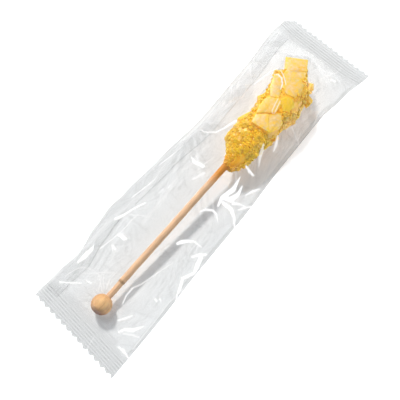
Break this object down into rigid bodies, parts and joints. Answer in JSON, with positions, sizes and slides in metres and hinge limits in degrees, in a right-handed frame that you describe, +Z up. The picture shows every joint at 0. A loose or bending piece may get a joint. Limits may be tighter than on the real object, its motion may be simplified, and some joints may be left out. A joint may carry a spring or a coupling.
{
  "type": "rock candy stick in a sealed clear film bag",
  "caption": "Yellow rock candy grown on a wooden stick with a turned ball at its other end, sealed in a clear crimped film bag that lies flat.",
  "frame": {"origin": "middle of the bag's footprint, on the surface that the bag lies on", "axes": "+X along the bag from the ball end to the candy end, +Z up"},
  "size_m": [0.2236, 0.0632, 0.0243],
  "materials": {
    "clear_film": "clear thin packing film with crimped ends",
    "rock_candy": "clear golden sugar crystals",
    "birch_stick": "plain turned birch dowel, stained amber by syrup near the candy",
    "birch_ball": "plain turned wooden ball"
  },
  "bodies": {
    "root": {"film_bag": "clear_film"}
  },
  "joints": []
}
